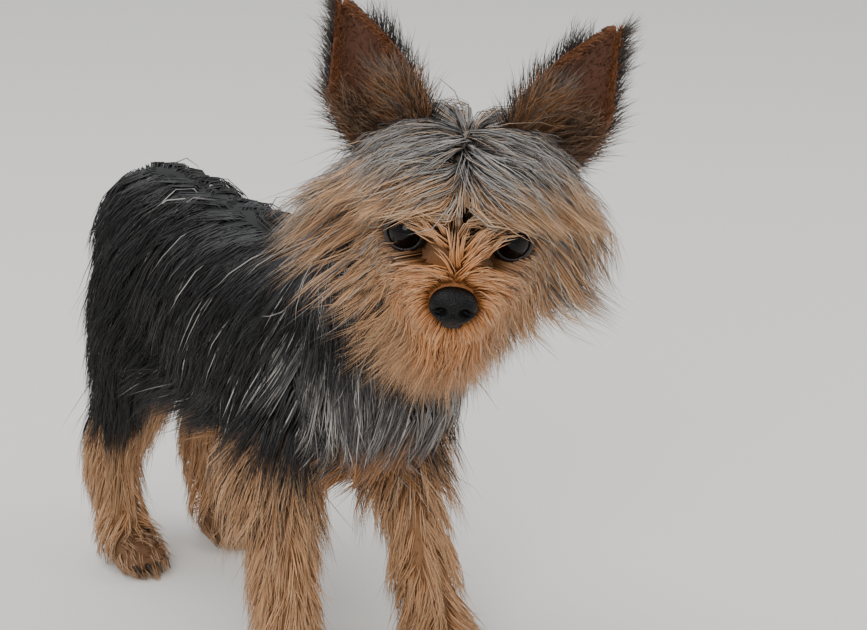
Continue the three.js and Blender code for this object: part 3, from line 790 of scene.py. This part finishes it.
def make_eye(side):
    rows, columns = 40, 48
    polar, turn = sphere_grid(rows, columns)
    axes = frame_of(GAZE)
    radius = EYE_RADIUS + 0.35 * np.exp(-((polar / 0.62) ** 4))
    points = (on_sphere(polar, turn) * radius[..., None]).reshape(-1, 3) @ axes + EYE * [side, 1, 1]
    angle = polar.ravel()
    colour = blend(np.tile(PUPIL, (len(angle), 1)), IRIS, smooth(angle, 0.34, 0.42))
    colour = blend(colour, IRIS_RIM, smooth(angle, 0.66, 0.76))
    colour = blend(colour, EYE_WHITE, smooth(angle, 0.98, 1.1))
    name = SIDES[side]
    made = mesh_object(f"eye_ball_{name}", metres(from_head(points)), grid_faces(rows, columns))
    paint(made, colour)
    made.data.materials.append(EYE_MATERIAL)
    kept(made, "eye", f"eye_{name}")


def make_lid(side):
    """A rim of skin over the eyeball, with an opening that is wider than it is high."""
    columns = 56
    turn = np.arange(columns) / columns * 2 * math.pi
    axis = unit(np.array([side * 0.22, -1, 0.02]))
    axes = frame_of(axis)
    narrowing = np.where(np.sin(turn) > 0, 0.22, 0.12)
    opening = LID_OPENING - narrowing * np.abs(np.sin(turn)) ** 1.3
    # angle out from the opening's edge, and rise above the eyeball
    profile = [
        (0.0, 0.15), (-0.03, 0.55), (0.03, 1.05), (0.16, 1.25), (0.42, 1.1), (0.8, 0.4), (1.1, -0.8),
    ]
    points = []
    for spread, rise in profile:
        points.append(on_sphere(opening + spread, turn) * (EYE_RADIUS + rise))
    points = np.concatenate(points) @ axes + EYE * [side, 1, 1]
    faces = grid_faces(len(profile), columns)
    made = mesh_object(f"eyelid_{SIDES[side]}", metres(from_head(points)), faces)
    made.data.materials.append(LID)
    kept(made, "nose_leather")


for side in SIDES:
    make_eye(side)
    make_lid(side)

# Nose, lips and claws
NOSE_HALF = [8.8, 6.2, 7.0]


def make_nose():
    rows, columns = 56, 72
    polar, turn = sphere_grid(rows, columns)
    local = np.stack([
        np.sin(polar) * np.cos(turn), -np.cos(polar), np.sin(polar) * np.sin(turn),
    ], -1).reshape(-1, 3)
    points = np.sign(local) * np.abs(local) ** 0.9 * NOSE_HALF
    x, z = points[:, 0], points[:, 2]
    front = smooth(-points[:, 1], 0, 3)
    narrow = 1 - 0.2 * smooth(-z, 1, 7)
    points[:, 0] *= narrow
    groove = np.exp(-((x / 0.75) ** 2)) * smooth(-z, -2, 2)
    for s in SIDES:
        hole = np.exp(-(((x - s * 4.0) / 1.9) ** 2 + ((z + 0.6) / 1.6) ** 2))
        slit = np.exp(-(((x - s * 6.3) / 2.2) ** 2 + ((z + 1.4 - 0.25 * (np.abs(x) - 6)) / 0.9) ** 2))
        points[:, 1] += front * (3.6 * hole + 1.6 * slit)
    points[:, 1] += front * groove
    made = mesh_object("nose_pad", metres(from_head(points + NOSE)), grid_faces(rows, columns))
    made.data.materials.append(NOSE_LEATHER)
    kept(made, "nose_leather", "nose")


make_nose()


def tube(name, line, radii, material):
    sides = 8
    way = unit(np.gradient(line, axis=0))
    a = unit(np.cross(way, [0.3, 0.2, 1]))
    b = np.cross(way, a)
    turn = np.arange(sides) / sides * 2 * math.pi
    circle = np.cos(turn)[None, :, None] * a[:, None] + np.sin(turn)[None, :, None] * b[:, None]
    ring = line[:, None] + circle * radii[:, None, None]
    last = (len(line) - 1) * sides
    faces = grid_faces(len(line), sides)
    faces += [tuple(range(sides))[::-1], tuple(range(last, last + sides))]
    made = mesh_object(name, metres(ring.reshape(-1, 3)), faces)
    made.data.materials.append(material)
    kept(made, "nose_leather")


def make_lips():
    """The line of the mouth, from the groove under the nose to both corners."""
    t = np.linspace(-1, 1, 41)
    mouth = np.stack([
        15.5 * np.sign(t) * np.abs(t) ** 0.8,
        -50.5 + 27 * np.abs(t) ** 1.7,
        -22.6 - 1.2 * np.sin(np.abs(t) * math.pi),
    ], 1)
    tube("lips", from_head(mouth), 0.9 + 0.5 * (1 - np.abs(t)), LID)


def make_claws():
    s = np.linspace(0, 1, 7)
    curve = np.stack([0 * s, -5.6 * s, 0.9 * np.sin(s * 2.2) - 4.2 * s**2], 1)
    for index, (x, y) in enumerate(TOES):
        for number, k in enumerate(TOE_PLACES):
            start = np.array([x + TOE_SPACING * k, y - 5.6 + TOE_ARCH * abs(k) - 1.2, 6.4])
            tube(f"claw_{index + 1}_{number + 1}", start + curve, 1.15 * (1 - 0.85 * s), CLAW)


make_lips()
make_claws()

# Ears
EAR_LEVELS = 40
EAR_ACROSS = 32
EAR_CUP = linear([80, 46, 28])
EAR_RIM = linear([112, 64, 34])
EAR_BACK = linear([34, 28, 25])


def ear_surface(side, u, v):
    """The middle of the ear's leather at share u from the inner to the outer edge and v up."""
    rise = EAR_HEIGHT * v
    inner = np.stack([13 + 37 * v**1.9, 3 + 6 * v, 28 + rise], -1)
    spreading = 20 * np.sin(np.minimum(v / 0.45, 1) * math.pi / 2)
    outer = np.stack([34 + spreading - 2 * v, 12 - 3 * v, 11 + rise + 17 * v], -1)
    p = inner + (outer - inner) * u[..., None]
    p[..., 1] += 13 * np.sin(math.pi * u) * (1 - v) ** 0.6
    p[..., 0] *= side
    return p


def ear_narrowing(v):
    """How much of the ear's width is left at a level, so that its tip is round."""
    if v <= 0.7:
        return 1
    return min(1, math.sqrt(max(1 - ((v - 0.7) / 0.26) ** 2, 0.04)))


def ear_shell(side):
    """Points of the ear's leather, front and back, one row for each level."""
    u = np.linspace(0, 1, EAR_ACROSS + 1)
    rows = []
    for v in np.linspace(0, 1, EAR_LEVELS + 1) ** 0.8 * 0.95:
        line = ear_surface(side, 0.5 + (u - 0.5) * ear_narrowing(v), np.full_like(u, v))
        thick = (0.5 + 0.5 * (1 - v)) * np.sqrt(np.sin(math.pi * (0.08 + 0.84 * u)))
        front = line - [0, 1, 0] * thick[:, None]
        back = line + [0, 1, 0] * thick[:, None]
        rows.append(np.concatenate([front, back[::-1]]))
    return np.concatenate(rows)


def ear_colours(count, columns):
    """A brown cup with a lighter rim in front, and a dark back."""
    number = np.arange(count)
    across = number % columns
    share_u = np.where(across <= EAR_ACROSS, across, columns - 1 - across) / EAR_ACROSS
    share_v = number // columns / EAR_LEVELS
    inside = across <= EAR_ACROSS
    edge = 1 - np.minimum(share_u, 1 - share_u) / 0.1
    rim = np.maximum(edge, 0.7 * smooth(share_v, 0.78, 1)).clip(0, 1)
    cup = blend(np.tile(EAR_CUP, (count, 1)), EAR_RIM, 0.8 * rim)
    return np.where(inside[:, None], cup, EAR_BACK)


def make_ear(side):
    points = ear_shell(side)
    columns = 2 * (EAR_ACROSS + 1)
    last = EAR_LEVELS * columns
    faces = grid_faces(EAR_LEVELS + 1, columns)
    faces += [tuple(range(columns))[::-1], tuple(range(last, last + columns))]
    name = SIDES[side]
    made = mesh_object(f"ear_shell_{name}", metres(from_head(points)), faces)
    bm = bmesh.new()
    bm.from_mesh(made.data)
    bmesh.ops.recalc_face_normals(bm, faces=bm.faces)
    bm.to_mesh(made.data)
    bm.free()
    paint(made, ear_colours(len(points), columns))
    made.data.materials.append(EAR_SKIN)
    kept(made, "ear_skin", f"ear_{name}")
    return made


ears = {side: make_ear(side) for side in SIDES}

# Coat over the body and the head
QUICK = 1.0
LOWEST_HAIR = 0.6
# name, kinds, tufts, tufts to a guide, lift, half width, rings, slot
COATS = [
    ("coat_torso", ["torso"], 14000, 16, 0.10, 0.36, 4, "black_coat"),
    ("coat_neck", ["neck"], 5500, 14, 0.25, 0.32, 4, "steel_coat"),
    ("coat_head", ["head"], 17000, 10, 0.5, 0.25, 4, "tan_coat"),
    ("coat_muzzle", ["muzzle", "jaw"], 7500, 8, 0.5, 0.2, 4, "tan_coat"),
    ("coat_forelegs", ["foreleg", "forepaw"], 8500, 9, 0.5, 0.26, 3, "tan_coat"),
    ("coat_hindlegs", ["thigh", "shank", "hindpaw"], 8500, 9, 0.32, 0.27, 3, "tan_coat"),
    ("coat_tail", ["tail"], 2000, 12, 0.22, 0.32, 4, "black_coat"),
]
skin_tables = triangles_of(skin)
middles = skin_tables[0].mean(1)
middle_kind = kinds_at(middles)
kind_names = np.array(KINDS)


def tones(root, kind):
    """Root and tip colours of tufts: the marking, with silver, dark and each tuft's own tone."""
    base, silver, dark = markings(root, kind)
    n = len(root)
    draw = rng.random(n)
    names = kind_names[kind]
    head = np.isin(names, ["head", "muzzle", "jaw"])
    tip = base.copy()
    light = head | np.isin(names, ["foreleg", "forepaw", "shank", "hindpaw", "thigh"])
    warm = base[:, 0] > 0.12
    tip = np.where((light & warm)[:, None], blend(tip, CREAM, rng.uniform(0.15, 0.8, n)), tip)
    grey = draw < silver
    tone = blend(np.tile(STEEL, (n, 1)), SILVER * 1.25, rng.random(n))
    tip = np.where(grey[:, None], tone, tip)
    start = np.where(grey[:, None], tone * 0.6, base)
    black = draw > 1 - dark
    start = np.where(black[:, None], DARK * 0.6, start)
    tip = np.where(black[:, None], DARK, tip)
    gain = rng.uniform(0.72, 1.25, n)[:, None]
    depth = np.where(light & warm & ~grey & ~black, 0.78, 0.55)[:, None]
    return start * depth * gain, tip * gain


def stand_off(root, kind, lift):
    """The lift of each guide: more on the temples, the crown and the upper forelegs."""
    spot = to_head(root)
    is_head = kind_names[kind] == "head"
    is_foreleg = kind_names[kind] == "foreleg"
    stand = lift * (1 + 1.2 * smooth(np.abs(spot[:, 0]), 16, 27) * is_head)
    stand *= 1 + 0.7 * smooth(spot[:, 2], 18, 28) * is_head
    return stand * (1 + 0.8 * smooth(root[:, 2], 78, 92) * is_foreleg)


def follow(guides, guide_root, root, normal, kind, silky):
    """Tufts that lean on the nearest guide, each with its own gather, trim and stray."""
    count = len(root)
    index = nearest(root, guide_root)
    t = np.linspace(0, 1, STEPS + 1)
    offset = root - guide_root[index]
    gather = rng.uniform(0.1, 0.45 if silky else 0.75, count)[:, None]
    path = guides[index] + offset[:, None] * (1 - gather * t[None] ** 0.9)[:, :, None]
    trim = rng.uniform(0.62, 1.0, count)
    path = path[:, :1] + (path - path[:, :1]) * (1 - (1 - trim[:, None]) * t[None])[:, :, None]
    stray = rng.normal(0, 1, (count, 1, 3)) * (t[None] ** 1.6)[:, :, None]
    own = np.where(rng.random(count) < (0.02 if silky else 0.07), 4.5, 1.2)
    path += stray * own[:, None, None] * (coat_length(root, kind) / 36)[:, None, None]
    path[:, 0] = root - normal
    for k in range(1, STEPS + 1):
        path[:, k] = step_out(path[:, k], 0.25 + 0.5 * k)
    path[:, :, 2] = np.maximum(path[:, :, 2], LOWEST_HAIR)
    return bend_back(path)


def grow_coat(name, kinds, count, per_guide, lift, width, rings, slot):
    count = int(count * QUICK)
    density = np.isin(kind_names[middle_kind], kinds).astype(float)
    if "head" in kinds:
        density *= 0.45 + 0.55 * smooth(-to_head(middles)[:, 1], -20, 0)
    root, normal, uv = scatter(skin_tables, density, count)
    guide_root, guide_normal, _ = scatter(skin_tables, density, count // per_guide)
    guide_kind = kinds_at(guide_root)
    length = coat_length(guide_root, guide_kind) * rng.uniform(0.8, 1.12, len(guide_root))
    stand = stand_off(guide_root, guide_kind, lift)
    guides = grow_guides(guide_root, guide_normal, guide_kind, length, stand)
    kind = kinds_at(root)
    path = follow(guides, guide_root, root, normal, kind, silky=name == "coat_torso")
    keep = ~blocked(path)
    path, root, kind, uv = path[keep], root[keep], kind[keep], uv[keep]
    size = width * rng.uniform(0.7, 1.25, len(path))
    # the draws for the colours come before those for the tufts' sides
    tone = tones(root, kind)
    write_tufts(name, [tuft_mesh(path, size, tone, uv, rings)])


for row in COATS:
    grow_coat(*row)


# Ear hair: short velvet on the rim, a dark fringe outside and tufts at the inner base
# count, inside, u range, v range, length, width, root colour, tip colour, spread
EAR_HAIR = [
    (700, True, (0.0, 0.14), (0.05, 0.95), 6, 0.12, [84, 50, 28], [148, 92, 52], 0.7),
    (700, True, (0.86, 1.0), (0.05, 0.95), 6, 0.12, [84, 50, 28], [148, 92, 52], 0.7),
    (1300, False, (0.0, 1.0), (0.0, 0.75), 15, 0.15, [30, 26, 24], [84, 76, 70], 0.55),
    (1300, False, (0.75, 1.0), (0.02, 0.92), 12, 0.11, [34, 28, 25], [110, 100, 92], 0.9),
    (700, True, (0.0, 0.45), (0.0, 0.32), 25, 0.15, [72, 46, 28], [164, 118, 76], 0.8),
    (700, True, (0.0, 0.4), (0.0, 0.42), 22, 0.15, [40, 34, 31], [122, 108, 98], 0.9),
    (400, True, (0.6, 1.0), (0.0, 0.3), 20, 0.15, [64, 50, 40], [150, 120, 96], 0.9),
    (700, True, (0.1, 0.9), (0.0, 0.9), 3.5, 0.13, [60, 38, 24], [96, 60, 36], 0.4),
]


def ear_paths(side, u, v, inside, length, loose):
    """Hairs that stand up and out from the ear's leather, in the head's frame, and their roots."""
    n = len(u)
    here = ear_surface(side, u, v)
    up = unit(ear_surface(side, u, v + 0.03) - here)
    across = unit(ear_surface(side, np.minimum(u + 0.03, 1.03), v) - here)
    out = unit(np.cross(across, up))
    out *= np.sign(-out[:, 1:2]) * (1 if inside else -1)
    edge = np.where(u > 0.5, 1.0, -1.0)[:, None]
    way = unit(up * 0.9 + across * edge * 0.32 + out * 0.25 + rng.normal(0, loose * 0.3, (n, 3)))
    size = length * rng.uniform(0.6, 1.2, n)
    t = np.linspace(0, 1, 5)
    path = here[:, None] + out[:, None] * 0.3 + way[:, None] * (size[:, None] * t[None])[:, :, None]
    path += out[:, None] * (np.sin(t * 2.4) * 0.12)[None, :, None] * size[:, None, None]
    path[:, 0] = here - out * 0.2
    path[:, :, 2] -= (t**2)[None] * size[:, None] * 0.1
    return path, here


def ear_tufts(side):
    made = ears[side]
    unwrap(made)
    points, _, uv = triangles_of(made)
    tables = []
    for count, inside, us, vs, length, width, start, end, loose in EAR_HAIR:
        n = int(count * QUICK)
        u = rng.uniform(*us, n)
        v = rng.uniform(*vs, n)
        path, here = ear_paths(side, u, v, inside, length, loose)
        world = from_head(path.reshape(-1, 3)).reshape(path.shape)
        gain = rng.uniform(0.7, 1.3, n)[:, None]
        tone = (linear(start) * gain, linear(end) * gain)
        spots = uv[nearest(from_head(here), points.mean(1))].mean(1)
        tables.append(tuft_mesh(world, width * rng.uniform(0.7, 1.2, n), tone, spots, 3))
    write_tufts(f"coat_ear_{SIDES[side]}", tables)


for side in SIDES:
    ear_tufts(side)


# Floor, light and camera
def area_light(name, place, target, size, power, colour=(1, 1, 1)):
    data = bpy.data.lights.new(name, "AREA")
    data.shape = "DISK"
    data.size = size
    data.energy = power
    data.color = colour
    lamp = bpy.data.objects.new(name, data)
    lamp.location = place
    way = Vector(target) - Vector(place)
    lamp.rotation_euler = way.to_track_quat("-Z", "Y").to_euler()
    bpy.context.scene.collection.objects.link(lamp)


FLOOR_HALF = 6
corners = [(x * FLOOR_HALF, y * FLOOR_HALF, 0) for x, y in ((-1, -1), (1, -1), (1, 1), (-1, 1))]
floor = mesh_object("floor", corners, [(0, 1, 2, 3)], flat=True)
floor_material, _ = principled("floor", (0.68, 0.65, 0.61), 0.75)
floor.data.materials.append(floor_material)

world = bpy.data.worlds.new("studio")
world.use_nodes = True
background = world.node_tree.nodes["Background"]
background.inputs["Color"].default_value = (0.93, 0.96, 1.0, 1)
background.inputs["Strength"].default_value = 0.95
bpy.context.scene.world = world
area_light("sky", (-0.5, 0.5, 1.9), (0, 0, 0.15), 1.6, 24, (0.95, 0.98, 1.0))
area_light("front", (-1.3, -1.2, 1.1), (0, -0.05, 0.18), 1.2, 22, (1.0, 0.98, 0.95))
area_light("side", (1.2, -0.9, 1.2), (0, -0.05, 0.2), 1.0, 9, (1.0, 0.97, 0.93))

right = np.array([math.cos(VIEW_AZIMUTH), -math.sin(VIEW_AZIMUTH), 0])
camera_up = np.cross(right, VIEW)
between = metres(from_head(EYE * [0, 1, 1]))
place = between - VIEW * EYE_DEPTH - right * EYE_RIGHT - camera_up * EYE_UP
lens = bpy.data.cameras.new("camera")
lens.lens = 85
lens.sensor_width = 36
lens.clip_start = 0.05
camera = bpy.data.objects.new("camera", lens)
axes = Matrix(np.array([right, camera_up, -VIEW]).T)
camera.matrix_world = Matrix.Translation(place) @ axes.to_4x4()
bpy.context.scene.collection.objects.link(camera)
bpy.context.scene.camera = camera

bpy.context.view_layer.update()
